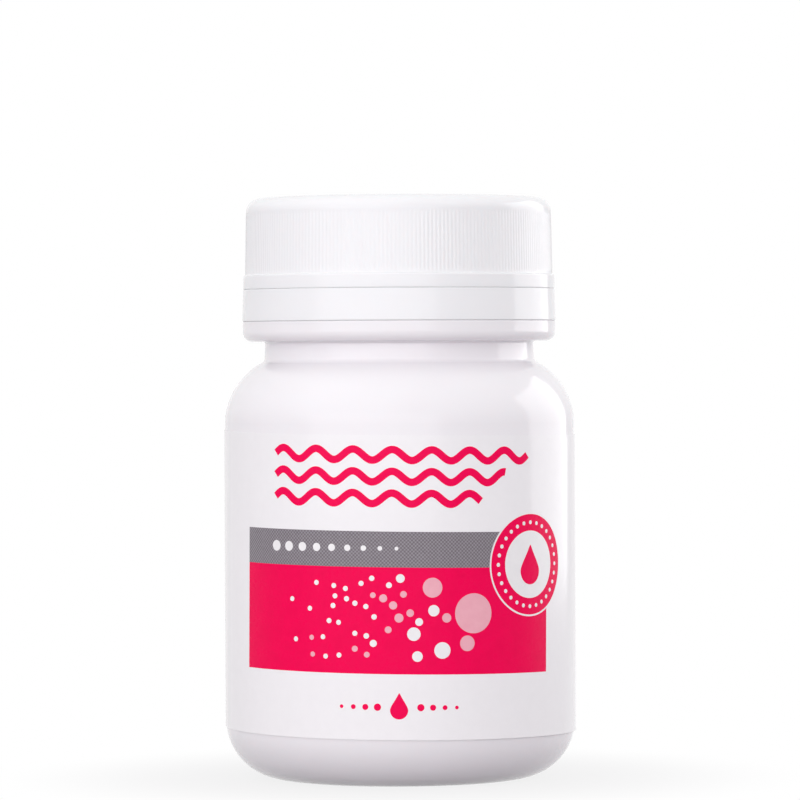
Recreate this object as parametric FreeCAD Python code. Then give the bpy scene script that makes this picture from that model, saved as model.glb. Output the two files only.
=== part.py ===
"""A round plastic jar that holds a soaked sponge for taking off nail polish.

The jar is one moulding: a raised base inside a foot ring, a straight wall, a rounded shoulder, and a
neck with a flange and the plain cylinder that takes the closure. A foam sponge with a finger hole fills
it, and a film label wraps it. The closure is a finely ribbed cap with a foam liner that seals on the
rim, above a tamper band that a bead on the neck holds down.

Millimetres. The origin is on the jar's axis in the plane that it stands on, +Z is up, the front is -Y.
"""

import FreeCAD, Part
import math
import os

os.makedirs("parts", exist_ok=True)
Vector = FreeCAD.Vector
UP = Vector(0, 0, 1)
ORIGIN = Vector(0, 0, 0)
COINCIDENT = 1e-6  # points closer than this are one
CHAMFER = 1  # a rounding made as one flat
HIDDEN = 2  # flats of a rounding that the sponge or the jar hides
SMALL = 3  # flats of a small rounding that shows
STRIP_MARGIN = 1.0  # how far the strip that cuts out the label stands past the film on each side

# Jar body
body_radius = 24.9
body_wall = 1.0
base_corner_radius = 8.2
wall_height = 42.6  # the straight wall between the base corner and the shoulder
shoulder_radius = 9.2
foot_width = 2.4  # flat ring that the jar stands on
push_up = 1.5  # how far the middle of the base is raised
push_up_slope = 4.0  # width of the slope from the foot ring to the raised middle

# Neck
finish_radius = 18.7  # the cylinder inside the closure
finish_wall = 1.8
rim_chamfer = 0.5
neck_step = 0.4  # how far the neck below the flange stands out from the finish
neck_flare = 0.15  # the neck's foot stands out this much more
neck_height = 2.85  # that shows between shoulder and flange

# Flange under the tamper band
flange_height = 2.75
flange_lower_round = 1.4
flange_upper_chamfer = 0.45
flange_set_back = 0.08  # from the foot of the tamper band in to the flange's edge

# Tamper bead on the finish, and the lip inside the band that it holds down
bead_land = 0.6  # height of the bead's cylindrical part
bead_slope = 1.6  # height over drawn-in width of the bead's upper side, where the band slid on
lip_height = 1.5
lip_play = 0.25  # between the lip and the bead's underside
lip_clearance = 0.7  # from the lip in to the finish
bead_clearance = 0.3  # from the bead out to the band's bore

# Tamper band
band_height = 4.25
band_wall = 1.3
band_draft = 0.15  # the band's foot stands out this much more than its top
band_edge_chamfer = 0.2
flange_gap = 0.25
score_gap = 0.3  # the cut line between band and cap

# Bridges that joined the band to the cap
bridge_count = 12
bridge_width = 0.9
bridge_depth = 0.6
bridge_inset = 0.15  # from the band's outside
bridge_gap = 0.05  # where each bridge has snapped

# Cap
cap_thread_room = 1.5  # between the finish and the cap's bore, which the threads fill
cap_wall = 1.5  # from the bore to the roots of the ribs
cap_top_thickness = 1.4
cap_top_round = 2.0
cap_inner_chamfer = 0.3
cap_mouth_chamfer = 0.4
collar_height = 1.9
collar_step = 0.3  # how far the collar stands out from the ribs
collar_chamfer = 0.3

# Ribs round the cap
rib_count = 240
rib_depth = 0.22
rib_height = 8.95
rib_draft = 0.17  # the ribs' upper end lies this much further in
rib_set_back = 0.04  # from the plain top's edge in to the ribs' upper end

# Liner in the cap, and the bead that keeps it there
liner_thickness = 1.0
liner_clearance = 0.15  # from its edge out to the chamfer inside the cap
liner_hold = 0.3  # how far the bead reaches in under its edge
liner_bead_height = 1.0
liner_bead_gap = 0.15

# Label
label_thickness = 0.08
label_adhesive = 0.03  # holds the film this far off the wall
label_height = 41.8
label_drop = 0.85  # its lower edge lies this far below the top of the base corner
label_seam = 2.6  # width of bare wall between its ends, at the back
label_skew = 0.6  # degrees by which it was put on askew, falling to the right of the front

# Sponge
sponge_clearance = 0.3
sponge_crown = 0.9  # how far its top rises from the shoulder to the middle
finger_hole_radius = 6.0
finger_hole_depth = 42.0
finger_hole_chamfer = 2.5  # at its floor
finger_hole_flare = 1.8  # how far its mouth is drawn in round the edge
slit_count = 4
slit_width = 0.8
slit_length = 8.5  # from the finger hole outwards
slit_depth = 30.0

# Radii that follow
bore_radius = finish_radius - finish_wall
neck_radius = finish_radius + neck_step
cap_bore_radius = finish_radius + cap_thread_room
rib_radius = cap_bore_radius + cap_wall + rib_depth
collar_radius = rib_radius + collar_step
band_foot_radius = collar_radius + band_draft
band_bore_radius = collar_radius - band_wall
lip_radius = finish_radius + lip_clearance
bead_radius = band_bore_radius - bead_clearance
flange_radius = band_foot_radius - flange_set_back
foot_radius = body_radius - base_corner_radius
liner_radius = cap_bore_radius - cap_inner_chamfer - liner_clearance

# Heights that follow
shoulder_foot = base_corner_radius + wall_height
shoulder_top = shoulder_foot + shoulder_radius
neck_reach = neck_radius + neck_flare - (body_radius - shoulder_radius)
neck_foot = shoulder_foot + math.sqrt(shoulder_radius**2 - neck_reach**2)
flange_bottom = neck_foot + neck_height
flange_top = flange_bottom + flange_height
band_bottom = flange_top + flange_gap
band_top = band_bottom + band_height
bead_bottom = band_bottom + lip_height + lip_play
bead_land_top = bead_bottom + bead_land
bead_top = bead_land_top + (bead_radius - finish_radius) * bead_slope
cap_bottom = band_top + score_gap
collar_top = cap_bottom + collar_height
rib_top = collar_top + rib_height
cap_top = rib_top + cap_top_round
ceiling = cap_top - cap_top_thickness
rim = ceiling - liner_thickness


def at(radius, height, degrees=0.0):
    """The point at that radius, height and angle about the jar's axis."""
    angle = math.radians(degrees)
    return Vector(radius * math.cos(angle), radius * math.sin(angle), height)


def rounded(before, corner, after, radius):
    """The arc of that radius that rounds the corner between two straight runs."""
    back = (before - corner).normalize()
    on = (after - corner).normalize()
    half = back.getAngle(on) / 2
    centre = corner + (back + on).normalize() * (radius / math.sin(half))
    middle = centre + (corner - centre).normalize() * radius
    reach = radius / math.tan(half)
    return Part.Arc(corner + back * reach, middle, corner + on * reach)


def turned(outline):
    """The solid of revolution of a closed outline of corners, each (radius, height).

    A third value rounds the corner, and a fourth makes that many flats of the rounding.
    """
    points = [at(entry[0], entry[1]) for entry in outline]
    points.append(points[0])
    edges = []
    pen = points[0]
    for index in range(1, len(points)):
        options = outline[index][2:] if index < len(outline) else ()
        arc = None
        stops = [points[index]]
        if options:
            arc = rounded(points[index - 1], points[index], points[index + 1], options[0])
            stops = [arc.StartPoint]
        if len(options) == 2:
            stops = arc.toShape().discretize(options[1] + 1)
            arc = None
        for stop in stops:
            if not pen.isEqual(stop, COINCIDENT):
                edges.append(Part.LineSegment(pen, stop).toShape())
                pen = stop
        if arc:
            edges.append(arc.toShape())
            pen = arc.EndPoint
    return Part.Face(Part.Wire(edges)).revolve(ORIGIN, UP, 360)


def barrel(inset, crown=0.0, *flats):
    """The jar's body from its raised base to its shoulder, taken in by inset all round.

    A crown makes its top rise towards the middle, from where the shoulder ends.
    """
    foot_inner_radius = foot_radius - foot_width
    side = body_radius - inset
    rounding = shoulder_radius - inset
    edge = shoulder_top - inset - crown * rounding / (side - rounding)
    return turned([
        (0, shoulder_top - inset + crown),
        (0, push_up + inset),
        (foot_inner_radius - push_up_slope, push_up + inset),
        (foot_inner_radius, inset),
        (side, inset, base_corner_radius - inset, *flats),
        (side, edge, rounding, *flats),
    ])


def neck():
    """The neck with its flange and bead, reaching down inside the shoulder."""
    return turned([
        (0, shoulder_foot),
        (neck_radius + neck_flare, shoulder_foot),
        (neck_radius + neck_flare, neck_foot),
        (neck_radius, flange_bottom),
        (flange_radius, flange_bottom, flange_lower_round, SMALL),
        (flange_radius, flange_top, flange_upper_chamfer, CHAMFER),
        (finish_radius, flange_top),
        (finish_radius, bead_bottom),
        (bead_radius, bead_bottom),
        (bead_radius, bead_land_top),
        (finish_radius, bead_top),
        (finish_radius, rim, rim_chamfer, CHAMFER),
        (0, rim),
    ])


def bore():
    """The way in through the neck, with its rounded lip."""
    return turned([
        (0, shoulder_foot),
        (bore_radius, shoulder_foot),
        (bore_radius, rim, rim_chamfer, CHAMFER),
        (bore_radius + rim_chamfer, rim),
        (bore_radius + rim_chamfer, rim + rim_chamfer),
        (0, rim + rim_chamfer),
    ])


def jar_body():
    """The jar, an even wall all round with one opening at the neck."""
    return barrel(0.0).fuse(neck()).cut(barrel(body_wall, 0.0, HIDDEN)).cut(bore())


def sponge():
    """Foam that fills the jar, with a flared finger hole and slits that let it grip the finger."""
    inset = body_wall + sponge_clearance
    top = shoulder_top - inset + sponge_crown
    floor = top - finger_hole_depth
    over = top + finger_hole_flare
    foam = barrel(inset, sponge_crown, HIDDEN)
    hole = turned([
        (0, floor),
        (finger_hole_radius, floor, finger_hole_chamfer, CHAMFER),
        (finger_hole_radius, top - finger_hole_flare),
        (finger_hole_radius + finger_hole_flare + sponge_crown, over),
        (0, over),
    ])
    foam = foam.cut(hole)
    for index in range(slit_count):
        reach = finger_hole_radius + slit_length
        corner = Vector(0, -slit_width / 2, top - slit_depth)
        slit = Part.makeBox(reach, slit_width, slit_depth + sponge_crown, corner)
        slit.rotate(ORIGIN, UP, 45 + 360 * index / slit_count)
        foam = foam.cut(slit)
    return foam


def wrap_label():
    """The label: a film round the wall, cut out by a strip on a slight helix, as it was put on askew."""
    inner = body_radius + label_adhesive
    outer = inner + label_thickness
    turn = 2 * math.pi * inner
    share = 1 - label_seam / turn
    drop = turn * math.tan(math.radians(label_skew))
    lower = base_corner_radius - label_drop - drop * share / 2
    upper = lower + label_height
    path = Part.makeHelix(drop, drop * share, inner, 0, True)
    path.translate(Vector(0, 0, lower))
    inside = inner - STRIP_MARGIN
    outside = outer + STRIP_MARGIN
    corners = [at(inside, lower), at(outside, lower), at(outside, upper), at(inside, upper)]
    profile = Part.makePolygon(corners + corners[:1])
    strip = Part.Wire(path.Edges).makePipeShell([profile], True, True)
    strip.rotate(ORIGIN, UP, 90 - 180 * label_seam / turn)
    top = upper + drop
    film = turned([(inner, lower), (outer, lower), (outer, top), (inner, top)])
    return film.common(strip)


def tamper_band():
    """The ring that stays on the neck: its lip lies under the bead, its bridges ended at the cap."""
    ring = turned([
        (lip_radius, band_bottom + lip_height),
        (lip_radius, band_bottom),
        (band_foot_radius, band_bottom, band_edge_chamfer, CHAMFER),
        (collar_radius, band_top, band_edge_chamfer, CHAMFER),
        (band_bore_radius, band_top),
        (band_bore_radius, band_bottom + lip_height),
    ])
    for index in range(bridge_count):
        reach = collar_radius - bridge_inset - bridge_depth
        corner = Vector(reach, -bridge_width / 2, band_top - score_gap)
        stub = Part.makeBox(bridge_depth, bridge_width, 2 * score_gap - bridge_gap, corner)
        stub.rotate(ORIGIN, UP, 360 * (index + 0.5) / bridge_count)
        ring = ring.fuse(stub)
    return ring


def ribs():
    """The ribbed zone of the cap as a solid: one star outline that draws in slightly towards its top."""
    star = []
    for index in range(rib_count):
        degrees = 360 * index / rib_count
        star.append(at(rib_radius, 0, degrees))
        star.append(at(rib_radius - rib_depth, 0, degrees + 180 / rib_count))
    drawn_in = 1 - rib_draft / rib_radius
    lower = [point + UP * collar_top for point in star]
    upper = [point * drawn_in + UP * rib_top for point in star]
    wires = [Part.makePolygon(points + points[:1]) for points in (lower, upper)]
    return Part.makeLoft(wires, True, True)


def cap_shell():
    """The cap: a smooth collar, the ribs, a rounded top, and a bore with a bead that keeps the liner."""
    collar = turned([
        (0, cap_bottom),
        (collar_radius, cap_bottom, collar_chamfer, CHAMFER),
        (collar_radius, collar_top),
        (0, collar_top),
    ])
    top_radius = rib_radius - rib_draft + rib_set_back
    crown = turned([
        (0, rib_top),
        (top_radius, rib_top),
        (top_radius, cap_top, cap_top_round, SMALL),
        (0, cap_top),
    ])
    bead_level = rim - liner_bead_gap
    inside = turned([
        (0, ceiling),
        (0, cap_bottom),
        (cap_bore_radius + cap_mouth_chamfer, cap_bottom),
        (cap_bore_radius, cap_bottom + cap_mouth_chamfer),
        (cap_bore_radius, bead_level - liner_bead_height),
        (liner_radius - liner_hold, bead_level - liner_bead_height / 2),
        (cap_bore_radius, bead_level),
        (cap_bore_radius, ceiling, cap_inner_chamfer, CHAMFER),
    ])
    return collar.fuse(ribs()).fuse(crown).cut(inside)


def cap_liner():
    """The foam disc that the cap presses on the rim."""
    return Part.makeCylinder(liner_radius, liner_thickness, Vector(0, 0, rim))


PIECES = {
    "jar_body": jar_body,
    "wrap_label": wrap_label,
    "sponge": sponge,
    "tamper_band": tamper_band,
    "cap_shell": cap_shell,
    "cap_liner": cap_liner,
}

for name, build in PIECES.items():
    shape = build()
    shape.exportStep(f"parts/{name}.step")
    box = shape.BoundBox
    print(
        f"{name}: valid {shape.isValid()}, {len(shape.Solids)} solid, {shape.Volume / 1000:.2f} cm3, "
        f"z {box.ZMin:.2f} to {box.ZMax:.2f}, width {box.XLength:.2f}"
    )
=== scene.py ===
"""The looks of a round white plastic jar that holds a soaked sponge for taking off nail polish.

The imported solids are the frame: every piece below stands where its solid does and rides on its body.
Outlines are in millimetres on the jar's own axis, as (radius, height), and turned into metres as they are
made. The front of the jar is -Y. Prints lie on the label as thin layers of ink with real edges.
"""

import math
import random

import bmesh
import bpy
from mathutils import Matrix, Vector, noise


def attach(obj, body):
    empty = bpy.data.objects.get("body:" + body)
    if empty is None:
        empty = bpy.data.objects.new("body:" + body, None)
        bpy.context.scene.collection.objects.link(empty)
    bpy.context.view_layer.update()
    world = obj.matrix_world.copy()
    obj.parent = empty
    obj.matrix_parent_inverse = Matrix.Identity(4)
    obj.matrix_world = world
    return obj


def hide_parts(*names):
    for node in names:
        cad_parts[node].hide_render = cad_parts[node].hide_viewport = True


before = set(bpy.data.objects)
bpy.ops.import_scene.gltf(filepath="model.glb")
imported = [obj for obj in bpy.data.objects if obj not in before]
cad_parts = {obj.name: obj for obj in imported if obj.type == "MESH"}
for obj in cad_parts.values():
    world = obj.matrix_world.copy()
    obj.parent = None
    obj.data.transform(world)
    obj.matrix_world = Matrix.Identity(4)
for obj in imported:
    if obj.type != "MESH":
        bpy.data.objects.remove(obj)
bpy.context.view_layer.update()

MM = 0.001
TURN = 2 * math.pi
UP = (0, 0, 1)
ORIGIN = (0, 0, 0)
MERGE = 1e-6  # vertices closer than this are one

# How finely round shapes are cut
SIDES = 240  # round a turned piece
SECTORS = 16  # alike, that make it up
ARC_STEP = math.radians(6)
SMALL_ARC_STEP = math.radians(15)  # in a rounding of up to SMALL_ROUNDING
SMALL_ROUNDING = 0.5
LEAST_STEPS = 4  # in any rounding
LONG_RUN = 1.2  # a straight run longer than this gets a vertex near each end
RUN_HOLD = 0.12  # and this is how near
STRIP_WIDTH = 0.65  # of the upright strips that bend a print round the label
THREAD_STEPS = 144  # in one turn of a thread

# Jar
body_radius = 24.9
body_wall = 1.0
base_corner = 8.2
shoulder_foot = 50.8
shoulder_round = 9.2
foot_radius = 16.7
foot_inner = 14.3
foot_slope = 4.0  # from the foot ring in to the raised middle of the base
foot_round = 0.6
push_up = 1.5  # height of that middle
push_up_round = 1.2
neck_radius = 19.1
neck_foot_radius = 19.25
neck_foot_fillet = 0.7
neck_foot_run = 0.46  # straight, between the shoulder's curve and the fillet
neck_top_round = 0.35
flange_radius = 22.29
flange_bottom = 62.14
flange_bottom_round = 1.4
flange_top = 65.0
flange_top_round = 0.13
finish_radius = 18.7
finish_round = 0.15
bore_radius = 16.9
bead_radius = 20.62
bead_bottom = 66.89
bead_bottom_round = 0.12
bead_land_top = 67.49
bead_land_round = 0.25
bead_top = 70.56
bead_top_round = 0.5
rim = 80.14
rim_round = 0.5

# Tamper band
band_bottom = 65.01
band_bottom_round = 0.15
band_top = 69.53
band_top_round = 0.08
band_foot_radius = 22.37
band_bore_radius = 20.92
band_bore_round = 0.12
lip_radius = 19.4
lip_top = 66.64
lip_top_round = 0.2
lip_foot_round = 0.3
bridge_count = 12
bridge_size = (0.6, 0.9, 0.4)  # of what is left of one: along the radius, round the band, and up
bridge_set_back = 0.36  # from the inside of the cap's outer edge in to its middle
bridge_sunk = 0.07  # from the top of the band down to its middle

# Cap
cap_bottom = 69.69
cap_lip_bottom = 69.536  # outer edge that comes down to the score line
cap_lip_radius = 21.86  # inside of that edge
cap_lip_round = 0.16
cap_mouth_chamfer = 0.4
cap_mouth_round = 0.12
collar_radius = 22.22
collar_top = 71.59
collar_round = 0.22
rib_radius = 21.92
rib_top_radius = 21.75
rib_top = 80.54
rib_count = 240
rib_depth = 0.06
rib_fade = 0.5  # height over which a rib comes out of the wall
rib_foot_round = 0.08
rib_draft_ease = 0.005  # steps by which the wall's slope begins and ends
rib_wall = 0.8  # nothing nearer the bore than this is ribbed
cap_top = 82.54
cap_top_round = 2.0
ceiling = 81.14
ceiling_round = 0.3
cap_bore_radius = 20.2
liner_radius = 19.75
liner_top_round = 0.15
liner_edge_round = 0.2
liner_bead_radius = 19.45
liner_bead_drop = 0.15  # from the rim's height to the bead
liner_bead_height = 1.0
liner_bead_round = 0.2
dent_depth = 0.08  # pressed into the liner by the rim
dent_ease = 0.15  # from the rim's edges to where the dent begins
dent_slope = 0.05  # and to where it is at its full depth
dent_round = 0.1

# Threads
pitch = 4.2
thread_foot_width = 1.9
thread_tip_width = 0.8
thread_bury = 0.3  # how far a thread goes into its wall
thread_run_out = 0.12  # of a turn, at each end
thread_start = 71.8  # middle of the neck's thread at its lower end
neck_thread_crest = 19.85
neck_thread_turns = 1.35
cap_thread_crest = 19.05
cap_thread_turns = 1.25
cap_thread_first = 0.15  # of a turn from the neck's to its own lower end
cap_thread_drop = 1.35  # from the neck's thread down to the cap's, which it pulls on

# Sponge
foam_inset = 1.3  # from the outside of the jar
foam_edge = 58.25  # height of its top at the edge, were that edge not rounded
foam_top = 59.2  # at the mouth of the finger hole
foam_skin = 0.5  # size of the squares its skin is made of
hole_radius = 6.0
hole_floor = 17.6
hole_floor_round = 1.5
hole_mouth_radius = 7.05
hole_mouth_round = 0.5
flare_foot = 57.8
flare_round = 1.0
slit_count = 4
slit_width = 0.8
slit_foot = 29.6
slit_reach = (3.0, 14.5)  # from inside the finger hole outwards, which leaves the plates clear of each other
pore_spacing = 1.9
pore_depth = 0.32
pore_edge = (0.62, 0.45)  # how wide a pore is, and over how much it goes down, as shares of the spacing
sag_spacing = 7
sag_depth = 0.12

# Label
label_inner = 24.93
label_outer = 25.01
label_lower = 7.07  # at the front
label_upper = 49.15
label_seam = 2.6
label_slope = math.tan(math.radians(0.6))  # how fast the film falls to the right

# Print, in millimetres to the right of the front and up
INK = 0.012  # thickness of one layer
INK_SUNK = INK / 2  # how far a layer goes into what is under it
print_slope = math.tan(math.radians(0.87))
print_middle = 26.0  # height about which the print leans
panel_left = -25.15
panel_right = 23.9
panel_lower = 16.17
panel_upper = 30.9
gray_upper = 35.83
wave_left = -19.2
wave_right = 19.4
wave_shortening = 4  # of each line from the one above
wave_rows = (46.4, 43.4, 40.4)
wave_swing = 0.75
wave_length = 5.5
wave_width = 1.05
wave_step = 0.25  # of the flats that a line is made of
dot_row_count = 9
dot_row_left = -19.0
dot_row_spacing = 2.3
dot_row_up = 33.5
dot_row_radius = 0.75
dot_row_shrink = 0.06  # of each dot from the one to its left
bubble_count = 44
bubble_area = (-21.5, 15.5, 17.6, 30.0)  # left, right, lower, upper
bubble_tries = 60  # for each bubble
bubble_least = 0.35  # radius
bubble_spread = 2.6  # from the least radius to the largest
bubble_scatter = 0.15  # of a bubble's place across, and the rest of it follows its size
bubble_gap = 0.35
badge_across = 20.15
badge_up = 31.25
badge_edge_radius = 7.25
badge_radius = 7.0
badge_middle_radius = 4.7
badge_dot_circle = 5.85
badge_dot_count = 28
badge_dot_radius = 0.28
badge_drop_radius = 1.9
badge_drop_sunk = 0.9  # from the badge's middle down to the drop's
foot_drop_up = 11.2
foot_drop_radius = 1.25
foot_dots_up = 11.6
foot_dot_first = 3.0  # from the drop's middle to that of the nearest dot on each side
foot_dot_spacing = 1.7
foot_dot_count = 4
foot_dot_radius = 0.5
foot_dot_shrink = 0.08  # of each dot from the one nearer the drop

# Stage, in metres, but the camera's lens and sensor in millimetres
floor_reach = 1.6
floor_gap = 0.00002  # under the foot ring, which would otherwise share the floor's face
# The floor's painted shadow round the jar's foot fades out between these two reaches.
shadow_reach = (0.022, 0.06)  # from the axis, where the floor begins to be plain white and where it is
shadow_white = 0.85  # how white it is nearer than that
room_light = 0.79  # of plain white, for the light that the room throws on the jar
lamp_target = Vector((0, 0, 0.045))
camera_place = (0.00013, -0.710, 0.06056)
camera_turn = (math.radians(90 - 0.55), math.radians(0.27), 0)
camera_lens = 223.8
camera_sensor = 36.0


def spin(shape, angle, steps, climb=0.0, copies=False):
    """Swings all of a shape round the jar's axis, climbing as it goes, or copies it on the way."""
    everything = shape.verts[:] + shape.edges[:] + shape.faces[:]
    bmesh.ops.spin(
        shape, geom=everything if copies else shape.verts[:] + shape.edges[:], cent=ORIGIN, axis=UP,
        dvec=(0, 0, climb / steps), angle=angle, steps=steps, use_duplicate=copies,
    )


def round_corner(shape, point, radius):
    """Rounds a corner of a line."""
    ahead, behind = [edge.other_vert(point).co - point.co for edge in point.link_edges]
    half = ahead.angle(behind) / 2
    step = SMALL_ARC_STEP if radius <= SMALL_ROUNDING else ARC_STEP
    bmesh.ops.bevel(
        shape, geom=[point], offset=radius * MM / math.tan(half), offset_type="OFFSET",
        segments=max(LEAST_STEPS, math.ceil((math.pi - 2 * half) / step)),
        profile=0.5, affect="VERTICES", material=-1, clamp_overlap=False,
    )


def hold_ends(shape):
    """Adds a vertex near each end of the long runs, which keeps their shading flat up to the roundings."""
    for edge in list(shape.edges):
        length = edge.calc_length()
        if length > LONG_RUN * MM:
            first, second = edge.verts
            near, _ = bmesh.utils.edge_split(edge, first, RUN_HOLD * MM / length)
            rest = near if second in near.verts else edge
            bmesh.utils.edge_split(rest, second, RUN_HOLD * MM / rest.calc_length())


def outline(corners):
    """A line through corners, each (radius, height) and, where it is rounded, the rounding's radius.

    It closes on itself unless it starts on the axis.
    """
    shape = bmesh.new()
    points = [shape.verts.new((radius * MM, 0, height * MM)) for radius, height, *_ in corners]
    for pair in zip(points, points[1:]):
        shape.edges.new(pair)
    if corners[0][0] > 0:
        shape.edges.new((points[-1], points[0]))
    for point, (_, _, *rounding) in zip(points, corners):
        if rounding:
            round_corner(shape, point, rounding[0])
    hold_ends(shape)
    return shape


def turned(corners, sides=SIDES):
    """The outline turned once round the jar's axis: one sector of it, and copies of that all round."""
    shape = outline(corners)
    spin(shape, TURN / SECTORS, sides // SECTORS)
    spin(shape, TURN * (SECTORS - 1) / SECTORS, SECTORS - 1, copies=True)
    return shape


def made_object(name, shape):
    """Makes a finished shape an object, with its doubles merged and its faces outwards."""
    bmesh.ops.remove_doubles(shape, verts=shape.verts, dist=MERGE)
    bmesh.ops.recalc_face_normals(shape, faces=shape.faces)
    mesh = bpy.data.meshes.new(name)
    shape.to_mesh(mesh)
    shape.free()
    thing = bpy.data.objects.new(name, mesh)
    bpy.context.scene.collection.objects.link(thing)
    return thing


def piece(name, shape, body, finish, sharp=32):
    """Makes a finished shape a piece that rides on a body."""
    thing = made_object(name, shape)
    thing.data.shade_smooth()
    thing.data.set_sharp_from_angle(angle=math.radians(sharp))
    thing.data.materials.append(finish)
    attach(thing, body)
    return thing


def smooth(value):
    """Eases a share from 0 to 1."""
    value = min(1.0, max(0.0, value))
    return value * value * (3 - 2 * value)


# Materials

MIX_SHARE, MIX_FIRST, MIX_SECOND, MIX_COLOUR = 0, 6, 7, 2  # a colour Mix node's sockets


class Signal:
    """A value that varies over a surface, with the sums that may be done on it."""

    def __init__(self, nodes, socket):
        self.nodes = nodes
        self.socket = socket

    def sum(self, operation, *values):
        return self.nodes.node("ShaderNodeMath", {"operation": operation}, dict(enumerate(values)))

    def __add__(self, other):
        return self.sum("ADD", self, other)

    def __radd__(self, other):
        return self.sum("ADD", other, self)

    def __sub__(self, other):
        return self.sum("SUBTRACT", self, other)

    def __rsub__(self, other):
        return self.sum("SUBTRACT", other, self)

    def __mul__(self, other):
        return self.sum("MULTIPLY", self, other)

    def __rmul__(self, other):
        return self.sum("MULTIPLY", other, self)

    def __truediv__(self, other):
        return self.sum("DIVIDE", self, other)


class Nodes:
    """The nodes of a material or a world."""

    def __init__(self, owner):
        owner.use_nodes = True
        self.tree = owner.node_tree

    def join(self, value, socket):
        """Gives a socket a value, or a link."""
        if isinstance(value, Signal):
            self.tree.links.new(value.socket, socket)
        else:
            socket.default_value = value

    def node(self, kind, settings, values, out=0):
        """Adds a node with its settings, then the values or links of its sockets."""
        node = self.tree.nodes.new(kind)
        for key, value in settings.items():
            if key == "stops":
                for stop, (place, level) in zip(node.color_ramp.elements, value):
                    stop.position = place
                    stop.color = (level, level, level, 1)
            else:
                setattr(node, key, value)
        for key, value in values.items():
            self.join(value, node.inputs[key])
        return Signal(self, node.outputs[out])

    def seen(self):
        """1 for a ray that looks at a thing, straight, mirrored or through glass, and 0 for its light."""
        looked = self.node("ShaderNodeLightPath", {}, {}, "Is Camera Ray")
        for kind in ("Is Glossy Ray", "Is Transmission Ray"):
            looked = looked.sum("MAXIMUM", looked, self.node("ShaderNodeLightPath", {}, {}, kind))
        return looked


class Finish(Nodes):
    """A material: nodes that feed one shader."""

    def __init__(self, name, **uniform):
        self.material = bpy.data.materials.new(name)
        super().__init__(self.material)
        self.shader = self.tree.nodes["Principled BSDF"]
        self.feed(**uniform)

    def feed(self, **sockets):
        """Feeds the shader's sockets and gives the material."""
        for socket, value in sockets.items():
            self.join(value, self.shader.inputs[socket.replace("_", " ")])
        return self.material

    def here(self):
        """Where a point is on the piece."""
        return self.node("ShaderNodeTexCoord", {}, {}, "Object")

    def grain(self, features, detail=2.0, rough=0.5, stretch=(1, 1, 1)):
        """Noise with that many features to the metre."""
        place = self.node("ShaderNodeMapping", {}, {"Vector": self.here(), "Scale": stretch})
        values = {"Vector": place, "Scale": features, "Detail": detail, "Roughness": rough}
        return self.node("ShaderNodeTexNoise", {}, values)

    def cells(self, features):
        """How far a point is from the middle of its cell."""
        values = {"Vector": self.here(), "Scale": features}
        return self.node("ShaderNodeTexVoronoi", {"feature": "F1"}, values)

    def ramp(self, value, low, high):
        """0 below low, 1 above high."""
        settings = {"stops": ((low, 0), (high, 1))}
        return self.node("ShaderNodeValToRGB", settings, {"Fac": value})

    def blend(self, share, first, second):
        """A colour between two."""
        values = {MIX_SHARE: share, MIX_FIRST: first, MIX_SECOND: second}
        return self.node("ShaderNodeMix", {"data_type": "RGBA"}, values, MIX_COLOUR)

    def bump(self, height, depth, strength=1.0):
        """Relief of that depth in millimetres."""
        values = {"Height": height, "Distance": depth * MM, "Strength": strength}
        return self.node("ShaderNodeBump", {}, values)


def tint(red, green, blue):
    return (red, green, blue, 1)


def gloss_plastic(name, pale, deep, low, high):
    """Moulded plastic: faint clouds in its white, a faint orange peel, and a little haze in its gloss."""
    finish = Finish(
        name, IOR=1.5, Subsurface_Weight=0.12, Subsurface_Radius=(1.0, 0.75, 0.7), Subsurface_Scale=0.0012,
    )
    clouds = finish.grain(features=55, detail=3.0)
    haze = finish.grain(features=120)
    peel = finish.grain(features=900, detail=1.0)
    return finish.feed(
        Base_Color=finish.blend(clouds, pale, deep),
        Roughness=low + (high - low) * finish.ramp(haze, 0.3, 0.7),
        Normal=finish.bump(peel, depth=0.006, strength=0.25),
    )


def printed_film(name, pale, deep, low, high, gloss=0.5):
    """Gloss film or ink on it: even colour with a fine mottle, and slow waves where it was pressed on."""
    finish = Finish(name, IOR=1.5, Specular_IOR_Level=gloss)
    mottle = finish.grain(features=700, detail=3.0, rough=0.6)
    waves = finish.grain(features=160, stretch=(1, 1, 0.5))
    return finish.feed(
        Base_Color=finish.blend(finish.ramp(mottle, 0.3, 0.7), pale, deep),
        Roughness=low + (high - low) * mottle,
        Normal=finish.bump(waves, depth=0.03, strength=0.3),
    )


def halftone_ink(name, pale, deep):
    """Gray made of fine dots in slanting rows, as a screen print is."""
    dot_spacing = 0.36
    finish = Finish(name, IOR=1.5, Specular_IOR_Level=0.25)
    here = finish.here()
    across, back, up = [finish.node("ShaderNodeSeparateXYZ", {}, {0: here}, axis) for axis in (0, 1, 2)]
    around = across.sum("ARCTAN2", across, 0.0 - back) * label_outer
    up = up / MM
    dots = 0.5
    for slant in (1.0, -1.0):
        row = (around + up * slant) * (TURN / (dot_spacing * math.sqrt(2)))
        dots = dots + row.sum("SINE", row) * 0.25
    speckle = finish.grain(features=2600, rough=0.7)
    share = finish.ramp(dots + (speckle - 0.5) * 0.5, 0.32, 0.68)
    mottle = finish.grain(features=60)
    return finish.feed(
        Base_Color=finish.blend(share, pale, deep),
        Roughness=0.26 + 0.08 * mottle,
        Normal=finish.bump(share, depth=0.004, strength=0.4),
    )


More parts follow.
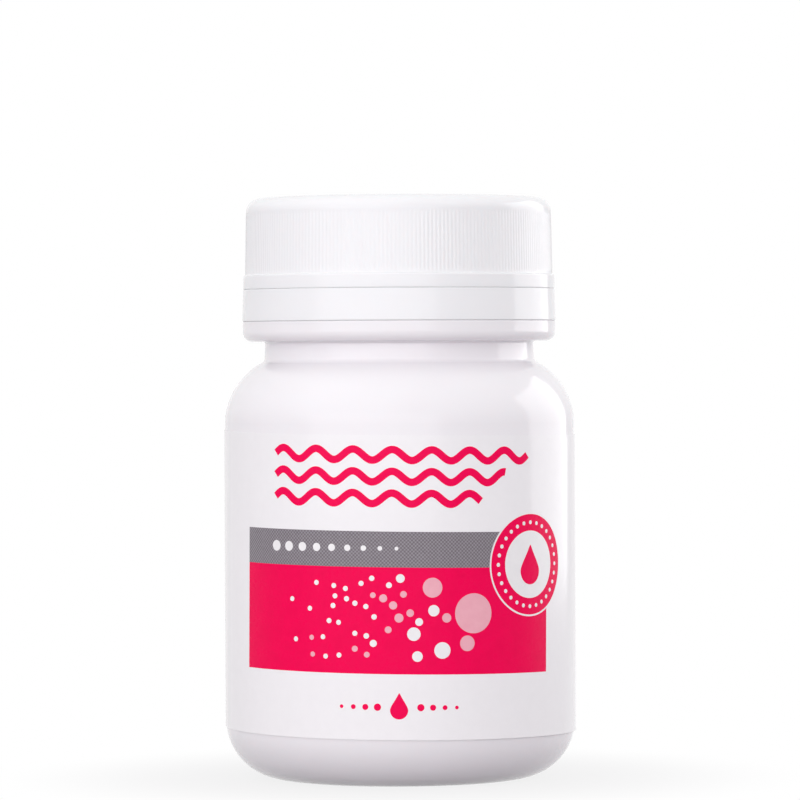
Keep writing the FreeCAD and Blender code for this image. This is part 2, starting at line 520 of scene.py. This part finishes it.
def open_foam(name, pale, deep, pores):
    """Open-cell foam: a strut mesh between pores, darker where the pores go down, which is painted shade."""
    finish = Finish(
        name, IOR=1.45, Subsurface_Weight=0.25, Subsurface_Radius=(1.0, 0.6, 0.6), Subsurface_Scale=0.002,
    )
    coarse = finish.ramp(finish.cells(pores), 0.1, 0.62)
    fine = finish.ramp(finish.cells(pores * 2.3), 0.1, 0.6)
    struts = coarse * 0.65 + fine * 0.35
    clouds = finish.grain(features=140, detail=3.0)
    return finish.feed(
        # The deep tint in the middle of each pore is painted shade; the clouds are the foam's own uneven
        # tone.
        Base_Color=finish.blend(struts * 0.75 + clouds * 0.25, deep, pale),
        Roughness=0.82 + 0.16 * struts,
        Normal=finish.bump(struts, depth=0.35, strength=0.9),
    )


jar_white = gloss_plastic("jar_white", tint(0.88, 0.855, 0.885), tint(0.86, 0.83, 0.865), 0.1, 0.14)
cap_white = gloss_plastic("cap_white", tint(0.88, 0.875, 0.895), tint(0.86, 0.855, 0.88), 0.1, 0.14)
film_white = printed_film("film_white", tint(0.89, 0.87, 0.895), tint(0.875, 0.855, 0.88), 0.12, 0.17)
magenta_ink = printed_film(
    "magenta_ink", tint(0.93, 0.002, 0.09), tint(0.88, 0.0015, 0.083), 0.22, 0.34, gloss=0.06,
)
white_ink = printed_film("white_ink", tint(0.88, 0.86, 0.88), tint(0.85, 0.83, 0.85), 0.2, 0.3)
blush_ink = printed_film("blush_ink", tint(0.86, 0.42, 0.50), tint(0.83, 0.38, 0.46), 0.2, 0.3)
gray_ink = halftone_ink("gray_ink", tint(0.29, 0.265, 0.295), tint(0.16, 0.14, 0.16))
# The second tint of each foam is the painted shade down in its pores.
sponge_foam = open_foam("sponge_foam", tint(0.86, 0.55, 0.64), tint(0.62, 0.30, 0.40), 900)
seal_foam = open_foam("seal_foam", tint(0.88, 0.88, 0.88), tint(0.74, 0.74, 0.75), 2200)


# Jar, band, cap and liner

def curve_corner(wall_radius, foot, radius, turn):
    """Where an upright wall and the end of the curve that leaves it would meet in a corner."""
    return wall_radius, foot + radius * math.tan(turn / 2)


def jar_outline():
    """The wall of the jar from the middle of its base, up the outside and down the inside."""
    centre = body_radius - shoulder_round
    run = math.hypot(shoulder_round, neck_foot_run)
    turn = math.acos((neck_foot_radius - centre) / run) - math.atan2(neck_foot_run, shoulder_round)
    neck_foot = shoulder_foot + shoulder_round * math.sin(turn) + neck_foot_run * math.cos(turn)
    inner_round = shoulder_round - body_wall
    inner_turn = math.acos((bore_radius - centre) / inner_round)
    inner_foot = shoulder_foot + inner_round * math.sin(inner_turn)
    inner_trim = 0.02  # off the inner curve, which would otherwise end in the corner above it
    return [
        (0, push_up),
        (foot_inner - foot_slope, push_up, push_up_round),
        (foot_inner, 0, foot_round),
        (foot_radius, 0),
        (body_radius, 0, base_corner),
        (*curve_corner(body_radius, shoulder_foot, shoulder_round, turn), shoulder_round),
        (neck_foot_radius, neck_foot, neck_foot_fillet),
        (neck_radius, flange_bottom, neck_top_round),
        (flange_radius, flange_bottom, flange_bottom_round),
        (flange_radius, flange_top, flange_top_round),
        (finish_radius, flange_top, finish_round),
        (finish_radius, bead_bottom, finish_round),
        (bead_radius, bead_bottom, bead_bottom_round),
        (bead_radius, bead_land_top, bead_land_round),
        (finish_radius, bead_top, bead_top_round),
        (finish_radius, rim, rim_round),
        (bore_radius, rim, rim_round),
        (bore_radius, inner_foot),
        (
            *curve_corner(body_radius - body_wall, shoulder_foot, inner_round, inner_turn),
            inner_round - inner_trim,
        ),
        (body_radius - body_wall, body_wall, base_corner - body_wall),
        (foot_inner, body_wall, foot_round),
        (foot_inner - foot_slope, push_up + body_wall, push_up_round),
        (0, push_up + body_wall),
    ]


def thread(wall, crest, lower, turns, first):
    """A right-hand thread on a wall, as a ridge whose ends run out. Its first end is at an angle."""
    inside = wall - math.copysign(thread_bury, crest - wall)
    foot, tip = thread_foot_width / 2, thread_tip_width / 2
    section = [(inside, -foot), (wall, -foot), (crest, -tip), (crest, tip), (wall, foot), (inside, foot)]
    shape = bmesh.new()
    points = [shape.verts.new((radius * MM, 0, (lower + height) * MM)) for radius, height in section]
    for pair in zip(points, points[1:] + points[:1]):
        shape.edges.new(pair)
    bmesh.ops.rotate(shape, verts=shape.verts, cent=ORIGIN, matrix=Matrix.Rotation(first, 3, "Z"))
    spin(shape, turns * TURN, round(turns * THREAD_STEPS), turns * pitch * MM)
    open_edges = [edge for edge in shape.edges if edge.is_boundary]
    bmesh.ops.holes_fill(shape, edges=open_edges, sides=len(section))
    for vert in shape.verts:
        radius = vert.co.xy.length
        guess = (vert.co.z / MM - lower) / pitch * TURN
        swung = math.atan2(vert.co.y, vert.co.x) - first
        swung += TURN * round((guess - swung) / TURN)
        share = smooth(min(swung, turns * TURN - swung) / (thread_run_out * TURN))
        kept = inside + (radius / MM - inside) * share
        vert.co.xy *= kept * MM / radius
    return shape


def ribbed(shape):
    """Presses the ribs into the side of the cap, by a vertex's place within its rib."""
    for vert in shape.verts:
        radius = vert.co.xy.length / MM
        height = vert.co.z / MM
        if radius > cap_bore_radius + rib_wall and collar_top < height < rib_top:
            phase = math.atan2(vert.co.y, vert.co.x) / TURN * rib_count % 1.0
            depth = rib_depth * (1 - abs(2 * phase - 1))
            share = smooth((height - collar_top) / rib_fade) * smooth((rib_top - height) / rib_fade)
            vert.co.xy *= 1 - depth * share / radius
    return shape


def bridges(shape):
    """Adds the stubs of the bridges that the first twist of the cap snapped."""
    place = (cap_lip_radius - bridge_set_back, 0, band_top - bridge_sunk)
    for index in range(bridge_count):
        turn = TURN * (index + 0.5) / bridge_count
        stub = bmesh.ops.create_cube(shape, size=1)["verts"]
        bmesh.ops.scale(shape, verts=stub, vec=Vector(bridge_size) * MM)
        bmesh.ops.translate(shape, verts=stub, vec=Vector(place) * MM)
        bmesh.ops.rotate(shape, verts=stub, cent=ORIGIN, matrix=Matrix.Rotation(turn, 3, "Z"))
    return shape


cap_outline = [
    (0, ceiling),
    (cap_bore_radius, ceiling, ceiling_round),
    (cap_bore_radius, rim - liner_bead_drop),
    (liner_bead_radius, rim - liner_bead_drop - liner_bead_height / 2, liner_bead_round),
    (cap_bore_radius, rim - liner_bead_drop - liner_bead_height),
    (cap_bore_radius, cap_bottom + cap_mouth_chamfer),
    (cap_bore_radius + cap_mouth_chamfer, cap_bottom, cap_mouth_round),
    (cap_lip_radius, cap_bottom),
    (cap_lip_radius, cap_lip_bottom),
    (collar_radius, cap_lip_bottom, cap_lip_round),
    (collar_radius, collar_top, collar_round),
    (rib_radius, collar_top, rib_foot_round),
    (rib_radius - rib_draft_ease, collar_top + rib_fade / 2),
    (rib_radius - 2 * rib_draft_ease, collar_top + rib_fade),
    (rib_top_radius + 2 * rib_draft_ease, rib_top - rib_fade),
    (rib_top_radius + rib_draft_ease, rib_top - rib_fade / 2),
    (rib_top_radius, rib_top),
    (rib_top_radius, cap_top, cap_top_round),
    (0, cap_top),
]

band_outline = [
    (lip_radius, lip_top, lip_top_round),
    (lip_radius, band_bottom, lip_foot_round),
    (band_foot_radius, band_bottom, band_bottom_round),
    (collar_radius, band_top, band_top_round),
    (band_bore_radius, band_top, band_bore_round),
    (band_bore_radius, lip_top),
]

liner_outline = [
    (0, ceiling),
    (liner_radius, ceiling, liner_top_round),
    (liner_radius, rim, liner_edge_round),
    (finish_radius + dent_ease, rim, dent_round),
    (finish_radius - dent_slope, rim + dent_depth),
    (bore_radius + dent_slope, rim + dent_depth),
    (bore_radius - dent_ease, rim, dent_round),
    (0, rim),
]

jar = piece("jar", turned(jar_outline()), "jar", jar_white)
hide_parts("jar_body")

piece(
    "neck_thread", thread(finish_radius, neck_thread_crest, thread_start, neck_thread_turns, 0.0),
    "jar", jar_white,
)

cap_thread_start = thread_start - cap_thread_drop + pitch * cap_thread_first
piece(
    "cap_thread",
    thread(cap_bore_radius, cap_thread_crest, cap_thread_start, cap_thread_turns, cap_thread_first * TURN),
    "cap", cap_white,
)

cap = piece("cap", ribbed(turned(cap_outline, 4 * rib_count)), "cap", cap_white)
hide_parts("cap_shell")

band = piece("band", bridges(turned(band_outline)), "band", cap_white)
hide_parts("tamper_band")

liner = piece("liner", turned(liner_outline), "liner", seal_foam)
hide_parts("cap_liner")


# Sponge

foam_outline = [
    (0, hole_floor),
    (hole_radius, hole_floor, hole_floor_round),
    (hole_radius, flare_foot, flare_round),
    (hole_mouth_radius, foam_top, hole_mouth_round),
    (body_radius - foam_inset, foam_edge, shoulder_round - foam_inset),
    (body_radius - foam_inset, foam_inset, base_corner - foam_inset),
    (foot_inner, foam_inset),
    (foot_inner - foot_slope, push_up + foam_inset),
    (0, push_up + foam_inset),
]


def worked(thing):
    """The shape that an object's modifiers give it. The object isn't kept."""
    depsgraph = bpy.context.evaluated_depsgraph_get()
    mesh = bpy.data.meshes.new_from_object(thing.evaluated_get(depsgraph))
    bpy.data.objects.remove(thing)
    shape = bmesh.new()
    shape.from_mesh(mesh)
    bpy.data.meshes.remove(mesh)
    return shape


def pored(shape):
    """Presses the foam's larger pores into its skin, and lets it sag a little between them."""
    shape.normal_update()
    start, slope = pore_edge
    moves = []
    for vert in shape.verts:
        pore = noise.voronoi(vert.co / (pore_spacing * MM))[0][0]
        pit = pore_depth * smooth((start - pore) / slope)
        sag = sag_depth * (0.5 + 0.5 * noise.noise(vert.co / (sag_spacing * MM)))
        moves.append(vert.normal * (-(pit + sag) * MM))
    for vert, move in zip(shape.verts, moves):
        vert.co += move
    return shape


def slit_plates():
    """The thin plates whose places the slits are."""
    shape = bmesh.new()
    near, far = slit_reach
    top = shoulder_foot + shoulder_round
    for index in range(slit_count):
        plate = bmesh.ops.create_cube(shape, size=1)["verts"]
        bmesh.ops.scale(shape, verts=plate, vec=((far - near) * MM, slit_width * MM, (top - slit_foot) * MM))
        bmesh.ops.translate(shape, verts=plate, vec=((far + near) / 2 * MM, 0, (top + slit_foot) / 2 * MM))
        turn = TURN * (index + 0.5) / slit_count
        bmesh.ops.rotate(shape, verts=plate, cent=ORIGIN, matrix=Matrix.Rotation(turn, 3, "Z"))
    return shape


def foam_shape():
    """The sponge: a turned block given an even skin and pores, then cut by its slits."""
    block = made_object("foam_block", turned(foam_outline))
    skin = block.modifiers.new("skin", "REMESH")
    skin.mode = "VOXEL"
    skin.voxel_size = foam_skin * MM
    even = block.modifiers.new("even", "SMOOTH")
    even.factor = 0.5
    even.iterations = 2
    block = made_object("foam_pored", pored(worked(block)))
    plates = made_object("slit_plates", slit_plates())
    cut = block.modifiers.new("slits", "BOOLEAN")
    cut.operation = "DIFFERENCE"
    cut.solver = "EXACT"
    cut.object = plates
    shape = worked(block)
    bpy.data.objects.remove(plates)
    return shape


sponge = piece("foam_sponge", foam_shape(), "jar", sponge_foam, 70)
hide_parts("sponge")


# Label and print

def on_label(across, up, out=0.0, slope=print_slope):
    """The point of the jar at a place on the print: millimetres to the right of its middle, and up."""
    angle = (across + (up - print_middle) * slope) / label_outer
    radius = label_outer + out
    return Vector((radius * math.sin(angle), -radius * math.cos(angle), up - across * slope)) * MM


def thickened(shape, thickness):
    """Gives a layer its thickness, inwards from its outer face."""
    bmesh.ops.remove_doubles(shape, verts=shape.verts, dist=MERGE)
    for face in shape.faces:
        middle = face.calc_center_median()
        face.normal_update()
        if face.normal.dot(Vector((middle.x, middle.y, 0))) < 0:
            face.normal_flip()
    shape.normal_update()
    bmesh.ops.solidify(shape, geom=shape.faces[:], thickness=thickness * MM)
    return shape


def strip(left, right, lower, upper, inner, outer, slope=print_slope):
    """Film or ink with straight edges: its left edge swung along the label, then given its thickness."""
    shape = bmesh.new()
    ends = [shape.verts.new(on_label(left, up, outer - label_outer, slope)) for up in (lower, upper)]
    shape.edges.new(ends)
    steps = math.ceil((right - left) / STRIP_WIDTH)
    spin(shape, (right - left) / label_outer, steps, (left - right) * slope * MM)
    return thickened(shape, outer - inner)


def ink_strip(name, lower, upper, ink):
    """A straight-edged field of ink, as wide as the panel, in the print's first layer."""
    shape = strip(panel_left, panel_right, lower, upper, label_outer - INK_SUNK, label_outer + INK)
    return piece(name, shape, "jar", ink)


def printed(name, shape, layer, ink):
    """A flat shape cut into upright strips and bent round the label as one layer of ink."""
    reach = [vert.co.x for vert in shape.verts]
    place = math.ceil(min(reach) / STRIP_WIDTH) * STRIP_WIDTH
    while place < max(reach):
        everything = shape.verts[:] + shape.edges[:] + shape.faces[:]
        bmesh.ops.bisect_plane(
            shape, geom=everything, dist=MERGE, plane_co=(place, 0, 0), plane_no=(1, 0, 0),
        )
        place += STRIP_WIDTH
    for vert in shape.verts:
        vert.co = on_label(vert.co.x, vert.co.y, layer * INK)
    return piece(name, thickened(shape, INK + INK_SUNK), "jar", ink)


def disc(shape, across, up, radius, sides=64):
    """Adds a filled circle."""
    made = bmesh.ops.create_circle(shape, cap_ends=True, radius=radius, segments=sides)["verts"]
    bmesh.ops.translate(shape, verts=made, vec=(across, up, 0))
    return made


def drop(shape, across, up, radius):
    """Adds a drop: a circle whose upper half is drawn out to a point."""
    narrowing, stretch = 0.75, 0.9
    for vert in disc(shape, 0, 0, radius):
        if vert.co.y > 0:
            share = vert.co.y / radius
            vert.co.x *= 1 - share ** 2 * narrowing
            vert.co.y *= 1 + stretch * share
        vert.co.x += across
        vert.co.y += up


def wave(shape, left, right, up):
    """Adds a wavy line of even width."""
    steps = round((right - left) / wave_step)
    made = bmesh.ops.create_grid(shape, x_segments=steps, y_segments=1, size=0.5)["verts"]
    for vert in made:
        across = left + (vert.co.x + 0.5) * (right - left)
        angle = (across - left) / wave_length * TURN
        slope = wave_swing * TURN / wave_length * math.cos(angle)
        lean = 1 / math.hypot(1, slope)
        side = vert.co.y * wave_width
        vert.co = Vector((across - side * slope * lean, up + wave_swing * math.sin(angle) + side * lean, 0))


def bubbles(count, left, right, lower, upper, seed):
    """Places for bubbles that don't touch: (across, up, radius), larger towards the right."""
    chance = random.Random(seed)
    placed = []
    for _ in range(count * bubble_tries):
        if len(placed) == count:
            break
        share = chance.random()
        radius = bubble_least + bubble_spread * share ** 3 * chance.uniform(0.5, 1.0)
        along = bubble_scatter * chance.random() + (1 - bubble_scatter) * share ** 0.6
        across = left + (right - left) * along - radius
        up = chance.uniform(lower + radius, upper - radius)
        if all(math.hypot(across - x, up - y) > radius + r + bubble_gap for x, y, r in placed):
            placed.append((across, up, radius))
    return placed


label_half = math.pi * label_outer - label_seam / 2
film = strip(-label_half, label_half, label_lower, label_upper, label_inner, label_outer, label_slope)
label = piece("label", film, "jar", film_white)
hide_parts("wrap_label")

ink_strip("magenta_panel", panel_lower, panel_upper, magenta_ink)
ink_strip("gray_band", panel_upper, gray_upper, gray_ink)

waves = bmesh.new()
for row, height in enumerate(wave_rows):
    wave(waves, wave_left, wave_right - wave_shortening * row, height)
printed("wave_print", waves, 1, magenta_ink)

dot_row = bmesh.new()
for index in range(dot_row_count):
    across = dot_row_left + index * dot_row_spacing
    disc(dot_row, across, dot_row_up, dot_row_radius - index * dot_row_shrink, sides=32)
printed("bead_print", dot_row, 2, white_ink)

white_bubbles = bmesh.new()
blush_bubbles = bmesh.new()
for index, (across, up, radius) in enumerate(bubbles(bubble_count, *bubble_area, seed=11)):
    disc(blush_bubbles if index % 3 == 1 else white_bubbles, across, up, radius, sides=40)
printed("white_bubble_print", white_bubbles, 2, white_ink)
printed("blush_bubble_print", blush_bubbles, 2, blush_ink)

badge_edge = bmesh.new()
disc(badge_edge, badge_across, badge_up, badge_edge_radius, sides=128)
printed("badge_edge_print", badge_edge, 2, white_ink)
badge_ring = bmesh.new()
disc(badge_ring, badge_across, badge_up, badge_radius, sides=128)
printed("badge_ring_print", badge_ring, 3, magenta_ink)
badge_middle = bmesh.new()
disc(badge_middle, badge_across, badge_up, badge_middle_radius, sides=96)
for index in range(badge_dot_count):
    angle = TURN * index / badge_dot_count
    across = badge_across + badge_dot_circle * math.cos(angle)
    up = badge_up + badge_dot_circle * math.sin(angle)
    disc(badge_middle, across, up, badge_dot_radius, sides=16)
printed("badge_middle_print", badge_middle, 4, white_ink)
badge_drop = bmesh.new()
drop(badge_drop, badge_across, badge_up - badge_drop_sunk, badge_drop_radius)
printed("badge_drop_print", badge_drop, 5, magenta_ink)

foot_mark = bmesh.new()
drop(foot_mark, 0.0, foot_drop_up, foot_drop_radius)
for side in (-1, 1):
    for index in range(foot_dot_count):
        across = side * (foot_dot_first + foot_dot_spacing * index)
        disc(foot_mark, across, foot_dots_up, foot_dot_radius - foot_dot_shrink * index, sides=24)
printed("foot_print", foot_mark, 1, magenta_ink)


# Stage

def area_light(name, place, width, height, power):
    """A soft lamp that faces the jar. Its power is in watts."""
    lamp = bpy.data.lights.new(name, "AREA")
    lamp.shape = "RECTANGLE"
    lamp.size = width
    lamp.size_y = height
    lamp.energy = power
    holder = bpy.data.objects.new(name, lamp)
    holder.location = place
    holder.rotation_euler = (lamp_target - Vector(place)).to_track_quat("-Z", "Y").to_euler()
    bpy.context.scene.collection.objects.link(holder)
    return holder


def studio_world():
    """An even pale room for the light, and plain white where it is looked at or mirrored."""
    world = bpy.data.worlds.new("studio")
    bpy.context.scene.world = world
    nodes = Nodes(world)
    background = nodes.tree.nodes["Background"]
    background.inputs["Color"].default_value = tint(1, 1, 1)
    levels = {"Value": nodes.seen(), "To Min": room_light, "To Max": 1.0}
    level = nodes.node("ShaderNodeMapRange", {}, levels)
    nodes.join(level, background.inputs["Strength"])


def studio_floor():
    """A plain pale floor that keeps the jar's shadow, with painted shade round the jar's foot, and is plain
    white further off.
    """
    shape = bmesh.new()
    made = bmesh.ops.create_grid(shape, x_segments=1, y_segments=1, size=floor_reach)["verts"]
    bmesh.ops.translate(shape, verts=made, vec=(0, 0, -floor_gap))
    mesh = bpy.data.meshes.new("floor")
    shape.to_mesh(mesh)
    shape.free()
    floor = bpy.data.objects.new("floor", mesh)
    bpy.context.scene.collection.objects.link(floor)
    finish = Finish("floor_paper", Base_Color=tint(0.31, 0.28, 0.31), Roughness=0.75)
    # Near the axis the white glow thins by distance alone and lets the dim paper through: a painted shadow
    # round the jar's foot, over the paper's real shadow.
    near, far = shadow_reach
    away = finish.node("ShaderNodeVectorMath", {"operation": "LENGTH"}, {0: finish.here()}, "Value")
    whiteness = finish.node(
        "ShaderNodeMapRange", {"interpolation_type": "SMOOTHSTEP"},
        {"Value": away, "From Min": near, "From Max": far, "To Min": shadow_white, "To Max": 1.0},
    )
    glow = finish.node("ShaderNodeEmission", {}, {"Color": tint(1, 1, 1), "Strength": 1.0})
    paper = Signal(finish, finish.shader.outputs[0])
    mixed = finish.node("ShaderNodeMixShader", {}, {0: finish.seen() * whiteness, 1: paper, 2: glow})
    finish.join(mixed, finish.tree.nodes["Material Output"].inputs["Surface"])
    mesh.materials.append(finish.material)


def studio_camera():
    """As far off and as high as the curves of the jar's base, label and cap show it in the photograph."""
    data = bpy.data.cameras.new("camera")
    data.sensor_width = camera_sensor
    data.lens = camera_lens
    camera = bpy.data.objects.new("camera", data)
    camera.location = camera_place
    camera.rotation_euler = camera_turn
    bpy.context.scene.collection.objects.link(camera)
    bpy.context.scene.camera = camera


studio_world()
studio_floor()
area_light("key", (-0.522, -0.58, 0.70), 1.1, 1.1, 0.9)
area_light("fill", (-0.35, -1.17, 0.24), 2.4, 0.48, 3.3)
front = area_light("front", (-0.40, -1.15, 0.145), 2.4, 0.27, 5.7)
front.visible_glossy = False  # it fills the shade under the curves, with no stripe of its own in the gloss
area_light("side", (0.490, 0.250, 0.10), 0.49, 0.6, 1.6)
studio_camera()

bpy.context.scene.view_settings.view_transform = "Standard"
